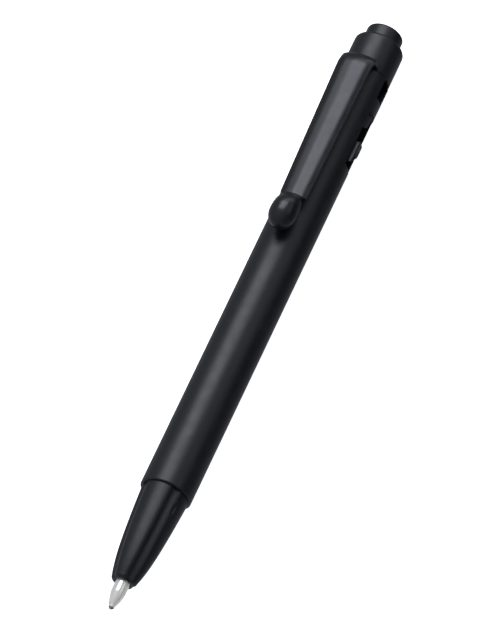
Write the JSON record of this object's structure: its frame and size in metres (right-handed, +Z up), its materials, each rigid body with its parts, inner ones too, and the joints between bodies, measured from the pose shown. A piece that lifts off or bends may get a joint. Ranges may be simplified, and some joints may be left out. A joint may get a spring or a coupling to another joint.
{
  "type": "retractable ballpoint pen",
  "caption": "Slim click pen with a plain tube barrel, fluted nose, ball-ended pocket clip, push button, click mechanism in side windows and a spring-returned refill.",
  "frame": {"origin": "bottom centre of the bounding box: under the middle of the pen's length, on the plane that touches the barrel's lowest line, with the clip up", "axes": "+X along the pen from the writing point to the push button, +Y across the clip, +Z up through the clip"},
  "size_m": [0.1404, 0.0112, 0.0163],
  "materials": {
    "barrel_plastic": "satin black",
    "nose_plastic": "satin black",
    "cap_plastic": "satin black",
    "clip_foot_plastic": "semi-gloss black",
    "clip_plastic": "semi-gloss black",
    "button_plastic": "satin black",
    "plunger_plastic": "satin black",
    "rotor_plastic": "satin black",
    "spring_steel": "bright drawn wire",
    "refill_tube_plastic": "translucent, natural",
    "nickel_silver": "bright turned metal",
    "tungsten_carbide": "polished",
    "ink": "black ink",
    "grease": "clear yellowish grease",
    "refill_plug_plastic": "white plastic"
  },
  "bodies": {
    "casing": {"barrel": "barrel_plastic", "nose_cone": "nose_plastic", "clip_cap": "cap_plastic", "clip_foot": "clip_foot_plastic", "return_spring": "spring_steel"},
    "clip": {"clip_arm": "clip_plastic"},
    "button": {"push_button": "button_plastic", "cam_plunger": "plunger_plastic"},
    "refill": {"refill_tube": "refill_tube_plastic", "refill_point": "nickel_silver", "ink_column": "ink", "grease_plug": "grease", "refill_plug": "refill_plug_plastic"},
    "rotor": {"cam_rotor": "rotor_plastic"},
    "ball": {"writing_ball": "tungsten_carbide"}
  },
  "joints": [
    {"name": "button_slide", "type": "slide", "parent": "casing", "child": "button", "axis": [1, 0, 0], "range_m": [-0.0007, 0.0063], "stiffness_N_per_m": 200},
    {"name": "refill_slide", "type": "slide", "parent": "casing", "child": "refill", "axis": [1, 0, 0], "range_m": [-0.0007, 0.0063], "deforming": ["return_spring"]},
    {"name": "rotor_turn", "type": "hinge", "parent": "refill", "child": "rotor", "pos_m": [0, 0, 0.00525], "axis": [1, 0, 0], "range_deg": [-2.6, 20.1]},
    {"name": "clip_flex", "type": "hinge", "parent": "casing", "child": "clip", "pos_m": [0.05925, 0, 0.0118], "axis": [0, 1, 0], "range_deg": [0, 6], "stiffness_Nm_per_rad": 1.5},
    {"name": "ball_roll", "type": "hinge", "parent": "refill", "child": "ball", "pos_m": [-0.0697, 0, 0.00525], "axis": [0, 1, 0], "continuous": true}
  ],
  "couplings": [
    {"joint": "refill_slide", "follows": "button_slide", "ratio": 1},
    {"joint": "rotor_turn", "follows": "button_slide", "rad_per_m": 55.4}
  ]
}
